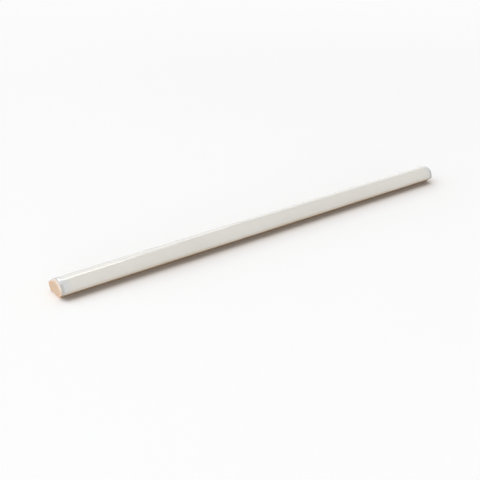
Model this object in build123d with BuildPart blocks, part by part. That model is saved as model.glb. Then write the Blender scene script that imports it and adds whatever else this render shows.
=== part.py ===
"""Rounded edge tile: a slim ceramic trim strip, fired and glazed as one piece.

The strip lies on its flat foot, long way along X. Its glazed nose faces -Y, and
the upright back edge, which meets the next tile, faces +Y. Z = 0 is the surface
that the foot rests on, and the origin is the middle of the outline there.
All lengths are in millimetres and all angles in degrees.
"""
import os
from math import cos, radians, sin

from build123d import *

# Overall size of the strip
length = 200.0
width = 12.0
height = 8.0

# Glazed face: a tight nose that passes into a shallow dome
nose_radius = 4.5
dome_angle = 25.0

# Lower front: the glaze ends at a lip, and a bare undercut slants back to the foot
lip_height = 2.7
undercut_depth = 3.1

# Back edge and the corners above and below it
back_height = 4.1
back_arris = 1.3
foot_round = 2.0

# Soft edge round both ends
end_arris = 0.9

nose_tip = -width / 2
back_face = width / 2
nose_centre = (nose_tip + nose_radius, height - nose_radius)
dome_direction = (cos(radians(dome_angle)), -sin(radians(dome_angle)))

with BuildPart() as edge_tile:
    # The section stands across the strip: sketch x is the part's Y, sketch y its Z
    with BuildSketch(Plane.YZ) as section:
        with BuildLine():
            nose = CenterArc(nose_centre, nose_radius, 90.0 - dome_angle, 90.0 + dome_angle)
            Polyline(nose @ 1, (nose_tip, 0), (back_face, 0), (back_face, back_height))
            TangentArc(nose @ 0, (back_face, back_height), tangent=dome_direction)
        make_face()
        rear_corners = section.vertices().group_by(Axis.X)[-1]
        fillet(rear_corners.sort_by(Axis.Y)[0], radius=foot_round)
        rear_corners = section.vertices().group_by(Axis.X)[-1]
        fillet(rear_corners.sort_by(Axis.Y)[-1], radius=back_arris)
    extrude(amount=length / 2, both=True)
    fillet(edge_tile.faces().filter_by(Axis.X).edges(), radius=end_arris)

    # The undercut takes off the lower front corner, from the lip down to the foot's front edge
    undercut_normal = (0, -lip_height, -undercut_depth)
    undercut = Plane(origin=(0, nose_tip, lip_height), x_dir=(1, 0, 0), z_dir=undercut_normal)
    split(bisect_by=undercut, keep=Keep.BOTTOM)

edge_tile.part.label = "edge_tile"
os.makedirs("parts", exist_ok=True)
export_step(edge_tile.part, "parts/edge_tile.step")
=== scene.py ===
# %% [markdown]
# # A rounded edge tile
#
# The object is one slim strip of fired clay, 200 mm long, with a glossy warm
# white glaze over its rounded top. The glaze stops at a soft lip at the front,
# low on the back, and just round both ends. The clay shows bare on the ends, on
# the slanted undercut below the lip and on the foot that the strip lies on.
# This first cell loads the measured solid, which everything else is fitted to.

from math import cos, hypot, pi, radians, sin, sqrt

import bpy
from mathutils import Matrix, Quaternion, Vector


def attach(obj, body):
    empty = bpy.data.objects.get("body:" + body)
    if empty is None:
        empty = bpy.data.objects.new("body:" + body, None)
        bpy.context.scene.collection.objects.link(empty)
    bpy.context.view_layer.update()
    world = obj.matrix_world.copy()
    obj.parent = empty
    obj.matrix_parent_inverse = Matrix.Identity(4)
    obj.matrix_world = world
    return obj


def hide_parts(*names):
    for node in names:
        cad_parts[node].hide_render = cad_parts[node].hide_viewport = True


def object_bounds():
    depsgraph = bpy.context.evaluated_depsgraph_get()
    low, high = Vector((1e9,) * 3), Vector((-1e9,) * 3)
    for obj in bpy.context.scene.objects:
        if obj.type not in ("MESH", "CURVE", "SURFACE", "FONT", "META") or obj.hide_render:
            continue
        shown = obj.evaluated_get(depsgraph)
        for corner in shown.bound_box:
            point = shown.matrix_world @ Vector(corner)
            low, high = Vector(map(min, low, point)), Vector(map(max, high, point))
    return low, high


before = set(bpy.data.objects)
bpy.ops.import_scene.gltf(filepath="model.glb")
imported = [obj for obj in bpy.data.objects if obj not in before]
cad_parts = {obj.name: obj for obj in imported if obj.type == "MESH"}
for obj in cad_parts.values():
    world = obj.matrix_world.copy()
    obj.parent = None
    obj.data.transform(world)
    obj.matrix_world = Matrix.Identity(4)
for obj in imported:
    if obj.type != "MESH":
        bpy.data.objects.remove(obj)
solid_low, solid_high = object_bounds()
print("solid:", [round(side, 4) for side in solid_high - solid_low], "m")

# %% [markdown]
# ## Sizes
#
# Blender works in metres here, and a tile maker thinks in millimetres, so each
# size below is a number of millimetres times MM. The outer box comes from the
# solid itself. The section is a tight nose that passes into a shallow dome, and
# its centres and angles follow from the few sizes that a maker would give.

# %% Sizes of the strip
MM = 0.001
HALF_LENGTH = solid_high.x
HALF_WIDTH = solid_high.y
HEIGHT = solid_high.z

NOSE_RADIUS = 4.5 * MM
DOME_ANGLE = radians(25)
BACK_HEIGHT = 4.1 * MM
BACK_ARRIS = 1.3 * MM
FOOT_ROUND = 2.0 * MM
LIP_HEIGHT = 2.7 * MM
UNDERCUT_DEPTH = 3.1 * MM
END_ROUND = 1.2 * MM

nose_centre = Vector((0, NOSE_RADIUS - HALF_WIDTH, HEIGHT - NOSE_RADIUS))
dome_start = nose_centre + NOSE_RADIUS * Vector((0, sin(DOME_ANGLE), cos(DOME_ANGLE)))
print("nose centre:", tuple(round(value / MM, 2) for value in nose_centre.yz), "mm")

# %% Where the dome meets the back edge
dome_normal = (dome_start - nose_centre).normalized()
to_back_top = Vector((0, HALF_WIDTH, BACK_HEIGHT)) - dome_start
dome_radius = -to_back_top.length_squared / (2 * to_back_top.dot(dome_normal))
dome_centre = dome_start - dome_radius * dome_normal

arris_reach = dome_radius - BACK_ARRIS
arris_across = HALF_WIDTH - BACK_ARRIS - dome_centre.y
arris_rise = sqrt(arris_reach**2 - arris_across**2)
arris_centre = Vector((0, HALF_WIDTH - BACK_ARRIS, dome_centre.z + arris_rise))
arris_start_angle = pi / 2 - Vector((arris_across, arris_rise)).angle(Vector((1, 0)))
print("dome radius:", round(dome_radius / MM, 1), "mm")

# %% [markdown]
# ## The glaze is a skin with a thickness
#
# Glaze is brushed or poured on as a slurry and melts into a glass about 0.4 mm
# thick. It ends in a rounded bead, and the clay lies a little lower beside it.
# The steps are small, but a bright line of light runs along them, and that line
# is what tells the eye that one material lies on another.

# %% Sizes of the glaze's edges
BACK_GLAZE_HEIGHT = 3.2 * MM
BACK_BEAD = 0.2 * MM
LIP_BEAD = 0.45 * MM
LIP_STEP = 0.15 * MM
END_STEP = 0.12 * MM

undercut_slope = hypot(LIP_HEIGHT, UNDERCUT_DEPTH)
foot_front = UNDERCUT_DEPTH - HALF_WIDTH + LIP_STEP * undercut_slope / LIP_HEIGHT
crease_drop = (LIP_STEP * undercut_slope - LIP_HEIGHT * LIP_BEAD) / UNDERCUT_DEPTH
lip_bottom = LIP_HEIGHT + crease_drop
clay_back = HALF_WIDTH - BACK_BEAD
foot_turn = FOOT_ROUND - BACK_BEAD
foot_back = clay_back - foot_turn
print("the foot runs from", round(foot_front / MM, 2), "to", round(foot_back / MM, 2), "mm")

# %% [markdown]
# ## Drawing the section with Spin and Extrude
#
# The strip could be a box with bevelled edges, but bevels on neighbouring edges
# eat into each other, and here the round nose, the dome and the rounded back
# edge follow one another without a gap. So the surface is drawn the way that a
# pen draws an outline. One long thin face stands at the very front. Its upper
# edge is spun about the nose's centre, then about the dome's, and then pulled
# straight where the section is straight, until the outline closes.

# %% Small helpers for edit mode
def deselect_everything():
    """Operators act on all that is selected, and loading leaves the solid selected."""
    bpy.ops.object.select_all(action="DESELECT")


def choose(piece, kind, wanted):
    """In edit mode, select the vertices, edges or faces whose mesh item passes the test."""
    bpy.ops.mesh.select_mode(type=kind)
    bpy.ops.mesh.select_all(action="DESELECT")
    bpy.ops.object.mode_set(mode="OBJECT")
    mesh = piece.data
    items = {"VERT": mesh.vertices, "EDGE": mesh.edges, "FACE": mesh.polygons}[kind]
    for item in items:
        item.select = wanted(item)
    bpy.ops.object.mode_set(mode="EDIT")


def turn(centre, angle, steps):
    """Spin the selected edge about a line along X, clockwise as seen from +X."""
    bpy.ops.mesh.spin(steps=steps, angle=angle, center=centre, axis=(1, 0, 0))


def pull_to(piece, y, z):
    """Extrude the selected edge straight to the place (y, z) in the section."""
    piece.update_from_editmode()
    pen = next(vertex.co for vertex in piece.data.vertices if vertex.select)
    move = (0, y - pen.y, z - pen.z)
    bpy.ops.mesh.extrude_region_move(TRANSFORM_OT_translate={"value": move})


def tidy_mesh(piece, merge_distance):
    """Merge vertices that lie on one another, then point all faces outwards."""
    bpy.ops.mesh.select_all(action="SELECT")
    bpy.ops.mesh.remove_doubles(threshold=merge_distance)
    bpy.ops.mesh.normals_make_consistent(inside=False)
    piece.update_from_editmode()


print("edit mode helpers: choose, turn, pull_to and tidy_mesh")

# %% Start with the short upright face below the nose
ARRIS_X = HALF_LENGTH - END_ROUND
land_bottom = lip_bottom + LIP_BEAD
land_middle = (land_bottom + nose_centre.z) / 2

deselect_everything()
bpy.ops.mesh.primitive_plane_add(
    size=1, location=(0, -HALF_WIDTH, land_middle), rotation=(pi / 2, 0, 0)
)
tile = bpy.context.object
tile.name = "glazed_edge_strip"
tile.scale = (2 * ARRIS_X, nose_centre.z - land_bottom, 1)
bpy.ops.object.transform_apply(location=True, rotation=True, scale=True)
bpy.ops.object.mode_set(mode="EDIT")
choose(
    tile,
    "EDGE",
    lambda edge: all(tile.data.vertices[i].co.z > land_middle for i in edge.vertices),
)
print("first face:", round((nose_centre.z - land_bottom) / MM, 2), "mm high")

# %% Round the nose, over the dome and down the back
NOSE_STEPS = 23
DOME_STEPS = 5
BACK_ARRIS_STEPS = 7
BACK_BEAD_STEPS = 4

turn(nose_centre, pi / 2 + DOME_ANGLE, NOSE_STEPS)
turn(dome_centre, arris_start_angle - DOME_ANGLE, DOME_STEPS)
turn(arris_centre, pi / 2 - arris_start_angle, BACK_ARRIS_STEPS)
pull_to(tile, HALF_WIDTH, BACK_GLAZE_HEIGHT)
turn((0, clay_back, BACK_GLAZE_HEIGHT), pi / 2, BACK_BEAD_STEPS)
tile.update_from_editmode()
print("glazed side drawn:", len(tile.data.polygons), "long faces")

# %% Down the bare clay, under the foot and up to the lip
FOOT_STEPS = 8
LIP_STEPS = 5
SECTION_MERGE = 0.01 * MM

pull_to(tile, clay_back, foot_turn)
turn((0, foot_back, foot_turn), pi / 2, FOOT_STEPS)
pull_to(tile, foot_front, 0)
pull_to(tile, LIP_BEAD - HALF_WIDTH, lip_bottom)
turn((0, LIP_BEAD - HALF_WIDTH, land_bottom), pi / 2, LIP_STEPS)
tidy_mesh(tile, SECTION_MERGE)
print("section closed:", len(tile.data.polygons), "long faces")

# %% [markdown]
# ## Which faces are glazed
#
# A mesh can carry several materials, one in each material slot, and each face
# remembers the number of its slot. It is easiest to say now which long faces
# are glaze, because everything that is cut or pulled from them later inherits
# the number. The slots stay empty until the finishes are made.

# %% Two slots: bare clay and glaze
CLAY_SLOT = 0
GLAZE_SLOT = 1
bpy.ops.object.material_slot_add()
bpy.ops.object.material_slot_add()
choose(tile, "FACE", lambda face: face.center.z > lip_bottom)
tile.active_material_index = GLAZE_SLOT
bpy.ops.object.material_slot_assign()
tile.update_from_editmode()
glazed = sum(face.material_index == GLAZE_SLOT for face in tile.data.polygons)
print("glazed faces:", glazed, "of", len(tile.data.polygons))

# %% [markdown]
# ## Cuts across the length
#
# A poured glaze is never dead flat: it lies in long low waves. Those waves are
# real shape here, so the long faces need cuts across them for the surface to
# bend at. Subdivide, given only the lengthwise edges, makes such parallel cuts.

# %% Cut the long faces across
CUT_SPACING = 1.5 * MM
cuts = round(2 * ARRIS_X / CUT_SPACING) - 1


def runs_lengthwise(edge):
    """True for an edge that is longer along X than half the strip."""
    start, stop = (tile.data.vertices[i].co for i in edge.vertices)
    return abs(start.x - stop.x) > ARRIS_X


choose(tile, "EDGE", runs_lengthwise)
bpy.ops.mesh.subdivide(number_cuts=cuts)
tile.update_from_editmode()
print("after", cuts, "cuts:", len(tile.data.polygons), "faces")

# %% [markdown]
# ## Rounding over both ends
#
# The ends of the real strip are not sharp: the clay is sponged to a soft arris
# before it is glazed. A Bevel of the end would fold over itself at the narrow
# lip, so the open ring at each end is pulled outwards in small steps instead,
# and drawn in a little at each step. The steps follow a quarter circle. The
# point that they are drawn towards lies low and near the back, so the nose and
# the top are rounded most, and the foot and the back edge stay crisp. The last
# step goes back inwards, where the bead of glaze drops to the bare end face.

# %% Pull the end rings round a quarter circle
END_STEPS = 6
END_INSET = 1.15 * MM
RIM_BEAD = 0.12 * MM
RING_CENTRE = (0, 5.2 * MM, 2.4 * MM)


def draw_ring(along, inset, past_inset):
    """Extrude the selected ring along X, then bring it to its new inset from the outline."""
    bpy.ops.mesh.extrude_region_move(TRANSFORM_OT_translate={"value": (along, 0, 0)})
    across = (HALF_WIDTH - inset) / (HALF_WIDTH - past_inset)
    upright = (HEIGHT / 2 - inset) / (HEIGHT / 2 - past_inset)
    bpy.ops.transform.resize(value=(1, across, upright), center_override=RING_CENTRE)


def close_end(end):
    """Round one end over; end is 1 for the end at +X and -1 for the end at -X."""
    ring_zone = ARRIS_X - CUT_SPACING / 2
    choose(
        tile,
        "EDGE",
        lambda edge: all(end * tile.data.vertices[i].co.x > ring_zone for i in edge.vertices),
    )
    reach, inset = 0, 0
    for step in range(1, END_STEPS + 1):
        angle = pi / 2 * step / END_STEPS
        next_reach = END_ROUND * sin(angle)
        next_inset = END_INSET * (1 - cos(angle))
        draw_ring(end * (next_reach - reach), next_inset, inset)
        reach, inset = next_reach, next_inset
    draw_ring(-end * END_STEP, inset + RIM_BEAD, inset)
    bpy.ops.mesh.edge_face_add()
    tile.active_material_index = CLAY_SLOT
    bpy.ops.object.material_slot_assign()


close_end(1)
close_end(-1)
tile.update_from_editmode()
print("closed solid:", len(tile.data.vertices), "vertices,", len(tile.data.polygons), "faces")

# %% [markdown]
# ## Bare clay has no bead
#
# The bead is only where there is glaze. Below it, the clay of the foot and of
# the undercut rounds over to the end face with no step, so the rings are pressed
# back there by the height of the bead.

# %% Press the bare part of the end rings back to the end face
END_MERGE = 0.001 * MM


def touching(slot):
    """The numbers of all vertices that a face with this slot uses."""
    faces = (face for face in tile.data.polygons if face.material_index == slot)
    return {number for face in faces for number in face.vertices}


bare_only = touching(CLAY_SLOT) - touching(GLAZE_SLOT)
for end in (1, -1):
    choose(
        tile,
        "VERT",
        lambda vertex: vertex.index in bare_only and end * vertex.co.x > ARRIS_X,
    )
    bpy.ops.transform.resize(
        value=(1 - END_STEP / END_ROUND, 1, 1), center_override=(end * ARRIS_X, 0, 0)
    )
tidy_mesh(tile, END_MERGE)
print("after pressing back:", len(tile.data.vertices), "vertices")

# %% [markdown]
# ## The glaze lies in low waves
#
# Displace moves each vertex along its normal by the brightness of a texture, and
# a cloud texture of about 11 mm makes waves like those of a poured glaze. With
# a middle level of 1 the surface can only sink, so the strip never grows past
# its measured size. A vertex group keeps the waves off the flat bare clay, and
# off the thin bead along the back, where they would push it out of line.

# %% Choose the glaze that waves
bead_top = BACK_GLAZE_HEIGHT + BACK_BEAD
glaze_only = touching(GLAZE_SLOT) - touching(CLAY_SLOT)


def waves_freely(vertex):
    """True for a vertex of the glaze that isn't on the bead along the back."""
    on_back_bead = vertex.co.y > 0 and vertex.co.z < bead_top
    return vertex.index in glaze_only and not on_back_bead


choose(tile, "VERT", waves_freely)
bpy.ops.object.vertex_group_add()
bpy.ops.object.vertex_group_assign()
tile.vertex_groups.active.name = "glaze"
bpy.ops.object.mode_set(mode="OBJECT")
print("glaze vertices:", len(glaze_only), "of", len(tile.data.vertices))

# %% Sink the glaze into low waves
WAVE_LENGTH = 11 * MM
WAVE_DEPTH = 0.16 * MM
SMOOTH_UP_TO = radians(35)

waves = bpy.data.textures.new("glaze_waves", type="CLOUDS")
waves.noise_scale = WAVE_LENGTH
waves.noise_depth = 1
bpy.ops.object.modifier_add(type="DISPLACE")
sink = tile.modifiers[-1]
sink.texture = waves
sink.texture_coords = "LOCAL"
sink.vertex_group = "glaze"
sink.mid_level = 1
sink.strength = WAVE_DEPTH
bpy.ops.object.modifier_apply(modifier=sink.name)
bpy.ops.object.shade_smooth_by_angle(angle=SMOOTH_UP_TO)
print("strip measures", [round(side / MM, 2) for side in tile.dimensions], "mm")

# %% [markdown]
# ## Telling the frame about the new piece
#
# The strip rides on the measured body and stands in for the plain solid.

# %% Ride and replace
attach(tile, "root")
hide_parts("edge_tile")
print("pieces that show:", tile.name)

# %% [markdown]
# ## Helpers for the finishes
#
# A material is a small network of nodes. A few short helpers keep the network
# readable. One adds a node and sets its values by name. One gives a colour in
# the 0 to 255 numbers of a picture, turned into the linear light values that
# the shader works in. The others blend colours and make masks, which are
# numbers from 0 to 1 that say where on the piece something shows.

# %% Node and colour helpers
def add_node(tree, kind, inputs=None, **settings):
    """Add a node, set its properties, and fill its inputs with values or links."""
    node = tree.nodes.new(kind)
    for name, value in settings.items():
        setattr(node, name, value)
    for name, value in (inputs or {}).items():
        if isinstance(value, bpy.types.NodeSocket):
            tree.links.new(value, node.inputs[name])
        else:
            node.inputs[name].default_value = value
    return node


def paint(red, green, blue):
    """A colour as seen in a picture, 0 to 255, as linear light with full cover."""
    def linear(level):
        share = level / 255
        return share / 12.92 if share <= 0.04045 else ((share + 0.055) / 1.055) ** 2.4
    return (linear(red), linear(green), linear(blue), 1)


def mix_colours(tree, share, first, second):
    """Blend two colours; share 0 gives the first and 1 the second."""
    node = add_node(tree, "ShaderNodeMix", data_type="RGBA")
    tree.links.new(share, node.inputs["Factor"])
    for socket, colour in ((node.inputs[6], first), (node.inputs[7], second)):
        if isinstance(colour, bpy.types.NodeSocket):
            tree.links.new(colour, socket)
        else:
            socket.default_value = colour
    return node.outputs[2]


print("a warm white in linear light:", [round(part, 3) for part in paint(210, 207, 200)[:3]])

# %% Mask helpers
def fade(tree, value, low, high, at_low=0, at_high=1):
    """Turn a measured value into a mask that runs smoothly between two levels."""
    node = add_node(
        tree,
        "ShaderNodeMapRange",
        {"Value": value, "From Min": low, "From Max": high, "To Min": at_low, "To Max": at_high},
        interpolation_type="SMOOTHSTEP",
    )
    return node.outputs["Result"]


def calculate(tree, operation, *values):
    """One step of arithmetic on numbers or on sockets."""
    node = add_node(tree, "ShaderNodeMath", operation=operation)
    for socket, value in zip(node.inputs, values):
        if isinstance(value, bpy.types.NodeSocket):
            tree.links.new(value, socket)
        else:
            socket.default_value = value
    return node.outputs[0]


def both(tree, first, second):
    """Where two masks hold at once: one times the other."""
    return calculate(tree, "MULTIPLY", first, second)


def opposite(tree, mask):
    """The rest of a mask: 1 minus its value."""
    return calculate(tree, "SUBTRACT", 1, mask)


print("mask helpers: fade, calculate, both and opposite")

# %% [markdown]
# ## Marks that the kiln leaves on everything
#
# Glaze and clay went through one firing, and both show broad clouds of tone, a
# fine grain and a few tiny pits. One node group makes all three, and each
# material uses it at its own scale. The group reads Object coordinates, which
# stay fixed to the strip, and works in millimetres.

# %% The shared group of kiln marks
kiln_marks = bpy.data.node_groups.new("kiln_marks", "ShaderNodeTree")
for name in ("Cloud Size", "Grain Size", "Pit Spacing"):
    kiln_marks.interface.new_socket(name, in_out="INPUT", socket_type="NodeSocketFloat")
for name in ("Clouds", "Grain", "Pits"):
    kiln_marks.interface.new_socket(name, in_out="OUTPUT", socket_type="NodeSocketFloat")

group_in = add_node(kiln_marks, "NodeGroupInput")
group_out = add_node(kiln_marks, "NodeGroupOutput")
place = add_node(kiln_marks, "ShaderNodeTexCoord").outputs["Object"]
in_mm = add_node(kiln_marks, "ShaderNodeVectorMath", {0: place, "Scale": 1 / MM}, operation="SCALE")


def per_size(name):
    """How often a pattern of the given size repeats in each millimetre."""
    return calculate(kiln_marks, "DIVIDE", 1, group_in.outputs[name])


print("sockets of the group:", [item.name for item in kiln_marks.interface.items_tree])

# %% Clouds, grain and pits inside the group
PIT_REACH = 0.035
CLOUD_SPREAD = (0.3, 0.7)
clouds = add_node(
    kiln_marks,
    "ShaderNodeTexNoise",
    {"Vector": in_mm.outputs[0], "Scale": per_size("Cloud Size"), "Detail": 3, "Roughness": 0.55},
)
grain = add_node(
    kiln_marks,
    "ShaderNodeTexNoise",
    {"Vector": in_mm.outputs[0], "Scale": per_size("Grain Size"), "Detail": 4, "Roughness": 0.65},
)
pits = add_node(
    kiln_marks,
    "ShaderNodeTexVoronoi",
    {"Vector": in_mm.outputs[0], "Scale": per_size("Pit Spacing"), "Randomness": 1},
)
pit_mask = fade(kiln_marks, pits.outputs["Distance"], PIT_REACH / 2, PIT_REACH, 1, 0)
cloud_mask = fade(kiln_marks, clouds.outputs["Fac"], *CLOUD_SPREAD)
kiln_marks.links.new(cloud_mask, group_out.inputs["Clouds"])
kiln_marks.links.new(grain.outputs["Fac"], group_out.inputs["Grain"])
kiln_marks.links.new(pit_mask, group_out.inputs["Pits"])
print("group:", kiln_marks.name, "with", len(kiln_marks.nodes), "nodes")

# %% Helpers that start a material and place the group in it
def add_kiln_marks(tree, cloud_size, grain_size, pit_spacing):
    """Place the shared group in a material, with sizes in millimetres."""
    node = add_node(tree, "ShaderNodeGroup", node_tree=kiln_marks)
    node.inputs["Cloud Size"].default_value = cloud_size
    node.inputs["Grain Size"].default_value = grain_size
    node.inputs["Pit Spacing"].default_value = pit_spacing
    return [node.outputs[name] for name in ("Clouds", "Grain", "Pits")]


def start_material(name):
    """A new material, its Principled shader, and the place on the piece along X, Y and Z."""
    material = bpy.data.materials.new(name)
    material.use_nodes = True
    shader = material.node_tree.nodes["Principled BSDF"]
    place = add_node(material.node_tree, "ShaderNodeTexCoord").outputs["Object"]
    axes = add_node(material.node_tree, "ShaderNodeSeparateXYZ", {"Vector": place})
    return material, shader, [axes.outputs[axis] for axis in "XYZ"]


print("material helpers: add_kiln_marks and start_material")

# %% [markdown]
# ## The glaze
#
# The glaze is an opaque warm white glass, but it isn't the same all over. Over
# the lip it runs thin and the clay's tan comes through it, and that tan is darker
# too, as painted shade along the lower edge. Beside each end it pools and looks a
# little cooler. Where the nose rounds over each end, a grey paints the shade of
# that rounded strip. On the very rim the glaze is thin again and takes the clay's
# pink, and higher up the rim is painted paler, as a painted highlight. Each of
# these is a mask made from the height or the distance to the end, and each mask
# blends one more colour in. The gloss comes from a low roughness, and a very
# shallow bump gives the skin of a fired glaze.

# %% Masks of the glaze
COVER = 0.85
# Over the lip: thin glaze showing the clay's tan, darker as painted shade.
LIP_TAN_COVER = (0.7, 1)
LIP_TAN_BAND = 1.9 * MM
POOL_LENGTH = 4 * MM
# Spans of painted shade: a grey on the nose where it rounds over each end.
NEAR_SHADE_SPAN = (ARRIS_X - 0.3 * MM, ARRIS_X + 0.4 * MM)
FAR_SHADE_SPAN = (ARRIS_X - 1.2 * MM, ARRIS_X)
NOSE_SHADE_TOP = (6 * MM, 7.4 * MM)
NOSE_SHADE_BACK = (-1 * MM, 2 * MM)
RIM_BAND = (HALF_LENGTH - 0.4 * MM, HALF_LENGTH - 0.2 * MM)

glaze, shader, (along, across, up) = start_material("warm_white_glaze")
tree = glaze.node_tree
glaze_clouds, glaze_grain, glaze_pits = add_kiln_marks(
    tree, cloud_size=16, grain_size=1.1, pit_spacing=7
)
from_middle = calculate(tree, "ABSOLUTE", along)

# Thin glaze over the lip, and painted shade along the lower edge of the glaze.
above_lip = fade(tree, up, lip_bottom, lip_bottom + LIP_TAN_BAND, 1, 0)
thin_glaze_and_shade = both(tree, above_lip, fade(tree, glaze_clouds, 0, 1, *LIP_TAN_COVER))
pooled = fade(tree, from_middle, ARRIS_X - POOL_LENGTH, ARRIS_X, 0, COVER)
# Painted shade on the nose where it rounds over each end, kept below the top.
near_shade_strip = fade(tree, from_middle, *NEAR_SHADE_SPAN, 0, COVER)
far_shade_strip = fade(tree, along, *FAR_SHADE_SPAN, 0, COVER)
below_top = opposite(tree, fade(tree, up, *NOSE_SHADE_TOP))
on_nose = both(tree, fade(tree, across, *NOSE_SHADE_BACK, 1, 0), below_top)
painted_end_shade = both(tree, calculate(tree, "MAXIMUM", near_shade_strip, far_shade_strip), on_nose)
# The very rim: thin glaze in the clay's pink, paler higher up as painted highlight.
rim = fade(tree, from_middle, *RIM_BAND, 0, COVER)
print("masks of the glaze:", len(tree.nodes), "nodes")

# %% Colours of the glaze
WARM_WHITE = paint(210, 207, 200)
WARM_WHITE_CLOUD = paint(207, 204, 197)
COOL_WHITE = paint(196, 198, 199)
# The clay's tan through thin glaze, made darker as painted shade.
TAN_AND_SHADE = paint(188, 175, 154)
# Greys of the painted shade at the near end and the far end.
NEAR_SHADE_GREY = paint(170, 166, 162)
FAR_SHADE_GREY = paint(158, 155, 152)
# Rim colours: the clay's pink low down, and a paler one higher up that paints a highlight.
LOW_RIM = paint(218, 190, 166)
HIGH_RIM_HIGHLIGHT = paint(236, 217, 202)
GLAZE_PIT = paint(170, 150, 128)
RIM_HIGHLIGHT_RISE = (3.5 * MM, 5.5 * MM)
PIT_COVER = 0.5

glaze_body = mix_colours(tree, glaze_clouds, WARM_WHITE, WARM_WHITE_CLOUD)
glaze_body = mix_colours(tree, pooled, glaze_body, COOL_WHITE)
# Tan of thin glaze and painted shade, above the lip.
glaze_body = mix_colours(tree, thin_glaze_and_shade, glaze_body, TAN_AND_SHADE)
# The painted shade's grey runs from the near end's tone to the far end's.
end_shade_grey = mix_colours(tree, fade(tree, along, 0, HALF_LENGTH), NEAR_SHADE_GREY, FAR_SHADE_GREY)
glaze_body = mix_colours(tree, painted_end_shade, glaze_body, end_shade_grey)
# Rim: pink of thin glaze low down, painted highlight higher up.
rim_pink_and_highlight = mix_colours(tree, fade(tree, up, *RIM_HIGHLIGHT_RISE), LOW_RIM, HIGH_RIM_HIGHLIGHT)
glaze_body = mix_colours(tree, rim, glaze_body, rim_pink_and_highlight)
glaze_body = mix_colours(tree, both(tree, glaze_pits, PIT_COVER), glaze_body, GLAZE_PIT)
tree.links.new(glaze_body, shader.inputs["Base Color"])
print("with its colours:", len(tree.nodes), "nodes")

# %% Gloss and skin of the glaze
GLAZE_IOR = 1.52
GLAZE_ROUGHNESS = (0.06, 0.1)
SKIN_DEPTH = 0.02 * MM
SKIN_STRENGTH = 0.25

shader.inputs["IOR"].default_value = GLAZE_IOR
gloss = fade(tree, glaze_clouds, 0, 1, *GLAZE_ROUGHNESS)
tree.links.new(gloss, shader.inputs["Roughness"])
skin_height = calculate(tree, "SUBTRACT", glaze_grain, glaze_pits)
skin = add_node(
    tree,
    "ShaderNodeBump",
    {"Height": skin_height, "Strength": SKIN_STRENGTH, "Distance": SKIN_DEPTH},
)
tree.links.new(skin.outputs["Normal"], shader.inputs["Normal"])
tile.material_slots[GLAZE_SLOT].material = glaze
print("whole glaze:", len(tree.nodes), "nodes")

# %% [markdown]
# ## The bare clay
#
# The fired body is a peach-coloured earthenware, dull and slightly sandy. Next to
# the glaze it blushes, because the glaze feeds it in the fire, and near the top
# of the end it is paler. The blush could be painted by hand, but a mask made from
# the distance to a point near the middle of the end gives the same curve, and
# stays right at both ends. Under the lip, away from the ends, the clay is painted
# a duller brown: painted shade, where little light gets in.

# %% Masks of the clay
BLUSH_CENTRE = (0, -0.3 * MM, 3.6 * MM)
BLUSH_BAND = (2.2 * MM, 3.2 * MM)
BLUSH_BACK = (-1 * MM, 4 * MM)
PALE_BAND = (4.5 * MM, 7 * MM)
PALE_COVER = 0.6
SAND_SPREAD = (0.35, 0.65)
SAND_COVER = 0.35
INNER_BAND = (HALF_LENGTH - 0.5 * MM, HALF_LENGTH - 0.2 * MM)
# How far back the painted shade under the lip reaches.
UNDERCUT_BACK = (-3.2 * MM, -2.6 * MM)

clay, shader, (along, across, up) = start_material("peach_clay")
tree = clay.node_tree
clay_clouds, clay_grain, clay_pits = add_kiln_marks(
    tree, cloud_size=5, grain_size=0.35, pit_spacing=2
)
in_section = add_node(tree, "ShaderNodeCombineXYZ", {"Y": across, "Z": up})
from_centre = add_node(
    tree,
    "ShaderNodeVectorMath",
    {0: in_section.outputs[0], 1: BLUSH_CENTRE},
    operation="DISTANCE",
)
near_glaze = fade(tree, from_centre.outputs["Value"], *BLUSH_BAND)
blush = both(tree, near_glaze, fade(tree, across, *BLUSH_BACK, 1, 0))
pale = fade(tree, up, *PALE_BAND, 0, PALE_COVER)
sandy = fade(tree, clay_grain, *SAND_SPREAD, SAND_COVER, 0)
inward = fade(tree, calculate(tree, "ABSOLUTE", along), *INNER_BAND, 1, 0)
# Painted shade: the undercut below the lip is darker, away from the ends.
painted_undercut_shade = both(tree, inward, fade(tree, across, *UNDERCUT_BACK, 1, 0))
print("masks of the clay:", len(tree.nodes), "nodes")

# %% Colours of the clay
PEACH = paint(213, 189, 163)
PEACH_CLOUD = paint(206, 180, 154)
PALE_PEACH = paint(236, 216, 194)
BLUSH_PEACH = paint(227, 194, 169)
SAND = paint(196, 164, 136)
# Duller brown of the painted shade under the lip.
UNDERCUT_SHADE_BROWN = paint(154, 136, 114)
CLAY_PIT = paint(150, 118, 94)
BLUSH_COVER = 0.9
CLAY_PIT_COVER = 0.8

clay_body = mix_colours(tree, clay_clouds, PEACH, PEACH_CLOUD)
clay_body = mix_colours(tree, pale, clay_body, PALE_PEACH)
clay_body = mix_colours(tree, both(tree, blush, BLUSH_COVER), clay_body, BLUSH_PEACH)
clay_body = mix_colours(tree, sandy, clay_body, SAND)
# Painted shade under the lip.
clay_body = mix_colours(tree, painted_undercut_shade, clay_body, UNDERCUT_SHADE_BROWN)
clay_body = mix_colours(tree, both(tree, clay_pits, CLAY_PIT_COVER), clay_body, CLAY_PIT)
tree.links.new(clay_body, shader.inputs["Base Color"])
print("with its colours:", len(tree.nodes), "nodes")

# %% Dull and sandy surface of the clay
CLAY_IOR = 1.45
CLAY_ROUGHNESS = (0.95, 0.8)
ROUGHNESS_SPREAD = (0.3, 0.7)
SAND_DEPTH = 0.06 * MM
SAND_STRENGTH = 0.6

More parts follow.
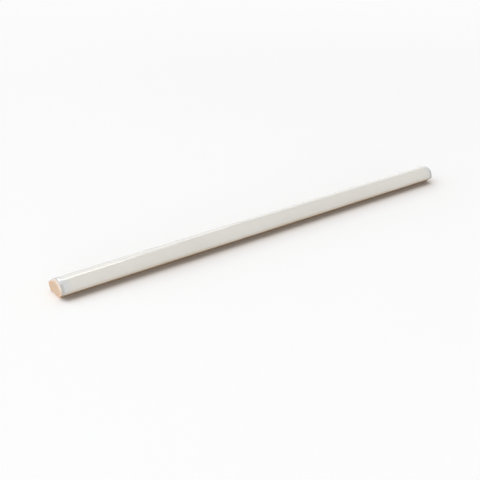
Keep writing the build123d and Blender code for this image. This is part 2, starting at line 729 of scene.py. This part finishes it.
shader.inputs["IOR"].default_value = CLAY_IOR
dullness = fade(tree, clay_grain, *ROUGHNESS_SPREAD, *CLAY_ROUGHNESS)
tree.links.new(dullness, shader.inputs["Roughness"])
sand_height = calculate(tree, "SUBTRACT", clay_grain, clay_pits)
surface = add_node(
    tree,
    "ShaderNodeBump",
    {"Height": sand_height, "Strength": SAND_STRENGTH, "Distance": SAND_DEPTH},
)
tree.links.new(surface.outputs["Normal"], shader.inputs["Normal"])
tile.material_slots[CLAY_SLOT].material = clay
print("whole clay:", len(tree.nodes), "nodes")

# %% [markdown]
# ## The table
#
# The strip lies on a plain white table. The table is part of the stage, not a
# piece of the object. Its colour holds painted shadow: a dark warm line in the gap
# under the lip, and a faint shade that runs far out in front. The Ambient
# Occlusion node measures how closed in a place is, so it is used twice: with a
# short reach for the gap and with a long one for the faint shade. Masks keep both
# in front of the strip, because the light comes from above and from behind. No
# Ambient Occlusion node is used on the strip itself.

# %% A white table
TABLE_SIZE = 14
TABLE_WHITE = (0.97, 0.97, 0.97, 1)
deselect_everything()
bpy.ops.mesh.primitive_plane_add(size=TABLE_SIZE)
table = bpy.context.object
table.name = "white_table"

white, shader, (along, across, up) = start_material("matt_white")
tree = white.node_tree
shader.inputs["Roughness"].default_value = 1
shader.inputs["Specular IOR Level"].default_value = 0
table.data.materials.append(white)
print("table:", round(table.dimensions.x), "m square")

# %% Painted shadow in the gap and faint painted shade in front of the strip
GAP_REACH = 14 * MM
GAP_OPEN = (0.28, 0.97)
GAP_TONE = 0.43
# Warm dark colour of the painted shadow in the gap.
GAP_SHADOW_COLOUR = (0.2, 0.1, 0.02, 1)
SHADE_REACH = 60 * MM
SHADE_OPEN = (0.84, 1)
SHADE_TONE = 0.11
FRONT_BAND = (-HALF_WIDTH, 1 * MM)
GAP_START = (-HALF_LENGTH - 1 * MM, 2.5 * MM - HALF_LENGTH)
SHADE_START = (-95 * MM, -45 * MM)
NEAR_END_SHADE = 0.1


def openness(reach):
    """How open the place is: 1 in the open, and less where something stands within reach."""
    node = add_node(tree, "ShaderNodeAmbientOcclusion", {"Distance": reach}, samples=16)
    return node.outputs["AO"]


# Painted shadow: the table darkens where the strip closes it in, in front of it.
in_front = fade(tree, across, *FRONT_BAND, 1, 0)
gap = both(tree, fade(tree, openness(GAP_REACH), *GAP_OPEN, 1, 0), in_front)
gap = both(tree, gap, fade(tree, along, *GAP_START))
shade = both(tree, fade(tree, openness(SHADE_REACH), *SHADE_OPEN, SHADE_TONE, 0), in_front)
shade = both(tree, shade, fade(tree, along, *SHADE_START, NEAR_END_SHADE, 1))
outside_gap = opposite(tree, both(tree, gap, 1 - GAP_TONE))
white_share = both(tree, outside_gap, opposite(tree, shade))
table_colour = mix_colours(tree, white_share, GAP_SHADOW_COLOUR, TABLE_WHITE)
tree.links.new(table_colour, shader.inputs["Base Color"])
print("gap within", round(GAP_REACH / MM), "mm, faint shade within", round(SHADE_REACH / MM), "mm")

# %% [markdown]
# ## The far table
#
# Far away the table would turn grey, and a line would show where it ends. So it
# goes over to the plain white of the room there, but only where the camera, a
# reflection or a clear piece looks at it. Light Path sorts that out by the kind
# of ray. Rays that carry light to the strip still find the matt table, so the
# plain white lights nothing.

# %% The far table is as white as the room
ROOM_WHITE = 0.97
FAR_START = 0.15
FAR_END = 0.6


def white_rays(tree):
    """1 for a ray that is seen by the camera, in a reflection or through glass, and else 0."""
    kind = add_node(tree, "ShaderNodeLightPath")
    seen = calculate(tree, "MAXIMUM", kind.outputs["Is Camera Ray"], kind.outputs["Is Glossy Ray"])
    return calculate(tree, "MAXIMUM", seen, kind.outputs["Is Transmission Ray"])


place = add_node(tree, "ShaderNodeTexCoord").outputs["Object"]
distance = add_node(tree, "ShaderNodeVectorMath", {0: place}, operation="LENGTH")
far_away = fade(tree, distance.outputs["Value"], FAR_START, FAR_END)
far = both(tree, far_away, white_rays(tree))
plain = add_node(tree, "ShaderNodeEmission", {"Strength": ROOM_WHITE})
blend = add_node(
    tree, "ShaderNodeMixShader", {0: far, 1: shader.outputs[0], 2: plain.outputs[0]}
)
tree.links.new(blend.outputs[0], tree.nodes["Material Output"].inputs["Surface"])
print("table material:", len(tree.nodes), "nodes")

# %% [markdown]
# ## Panels that light the strip
#
# A studio lights such a small glossy thing with large soft panels. Three of them
# light the strip here. A wide one overhead lights the table and the dome, one on
# the left lights the bare end, and a low one in front keeps the nose from going
# dark. It is aimed along the table, so it hardly reaches into the gap below the
# lip. All three are left out of reflections, which have panels of their own.

# %% Panels of light
def add_panel(name, azimuth, elevation, distance, width, height, brightness, roll=0):
    """A panel that faces the strip; azimuth 0 is behind it (+Y), and turns towards +X."""
    turn_round, lift = radians(azimuth), radians(elevation)
    away = Vector((sin(turn_round) * cos(lift), cos(turn_round) * cos(lift), sin(lift)))
    facing = away.to_track_quat("Z", "Y") @ Quaternion((0, 0, 1), radians(roll))
    bpy.ops.object.light_add(type="AREA", location=away * distance)
    panel = bpy.context.object
    panel.name = name
    panel.rotation_euler = facing.to_euler()
    panel.data.shape = "RECTANGLE"
    panel.data.size = width
    panel.data.size_y = height
    panel.data.energy = brightness * pi * width * height
    panel.visible_camera = False
    return panel


overhead = add_panel(
    "overhead_panel", azimuth=0, elevation=80, distance=3, width=4.4, height=2.2, brightness=0.9
)
left = add_panel(
    "left_panel", azimuth=-115, elevation=35, distance=3, width=2.4, height=2.4, brightness=1.5
)
low_front = add_panel(
    "low_front_panel", azimuth=-150, elevation=6, distance=2.5, width=2.4, height=0.5, brightness=3.3
)
for panel in (overhead, left, low_front):
    panel.visible_glossy = False
    print("lights:", panel.name)

# %% [markdown]
# ## Panels that only show in the glaze
#
# The shape of a glossy thing is read from what it mirrors. Two bright streaks
# run along the near half of the top, a soft glow lightens the far side of the
# dome, and a small glint sits on the near corner. Each is the picture of one
# panel behind the strip. They are left out of the light that falls on the
# strip, so they can be as bright as the streaks need without washing it out.

# %% Panels for the reflections
high_streak = add_panel(
    "high_streak_panel",
    azimuth=30.1, elevation=66.5, distance=3, width=1.2, height=1.3, brightness=6.5, roll=3.8,
)
streak = add_panel(
    "streak_panel",
    azimuth=26.9, elevation=44, distance=3, width=1.2, height=1.2, brightness=2.1, roll=5.7,
)
glow = add_panel(
    "back_glow_panel", azimuth=42, elevation=20, distance=3, width=3.8, height=2.2, brightness=1.05
)
glint = add_panel(
    "glint_panel", azimuth=-38, elevation=52, distance=3, width=2.6, height=2.6, brightness=9
)
for panel in (high_streak, streak, glow, glint):
    panel.visible_diffuse = False
    print("only in reflections:", panel.name)

# %% [markdown]
# ## The room
#
# The room gives a little light from all round. To the camera, and in reflections,
# it is plain white, which Light Path sorts out by the kind of ray.

# %% A white room
ROOM_LIGHT = 0.62
room = bpy.data.worlds.new("white_room")
bpy.context.scene.world = room
room.use_nodes = True
tree = room.node_tree
backdrop = tree.nodes["Background"]
strength = fade(tree, white_rays(tree), 0, 1, ROOM_LIGHT, ROOM_WHITE)
tree.links.new(strength, backdrop.inputs["Strength"])
backdrop.inputs["Color"].default_value = (1, 1, 1, 1)
bpy.context.scene.view_settings.view_transform = "Standard"
print("room light:", ROOM_LIGHT)

# %% [markdown]
# ## The camera
#
# The camera stands to the left of the strip's front and looks down on it. Its
# place was worked out from the lines of the strip in the photograph: the long
# edges draw together towards the right, which gives the distance, and the near
# end shows how far round and how high the camera stands.

# %% Camera at the photograph's place
CAMERA_AZIMUTH = radians(-36.546)
CAMERA_ELEVATION = radians(25.586)
CAMERA_DISTANCE = 358.3 * MM
LOOK_AT = Vector((-11.6, 4.13, -3.57)) * MM
SENSOR_WIDTH = 36
LENS = 61.67
back = Vector((
    sin(CAMERA_AZIMUTH) * cos(CAMERA_ELEVATION),
    -cos(CAMERA_AZIMUTH) * cos(CAMERA_ELEVATION),
    sin(CAMERA_ELEVATION),
))
bpy.ops.object.camera_add(location=LOOK_AT + CAMERA_DISTANCE * back)
camera = bpy.context.object
camera.rotation_euler = (pi / 2 - CAMERA_ELEVATION, 0, CAMERA_AZIMUTH)
camera.data.sensor_width = SENSOR_WIDTH
camera.data.lens = LENS
camera.data.clip_start = 10 * MM
bpy.context.scene.camera = camera
print("camera at", [round(value / MM, 1) for value in camera.location], "mm")
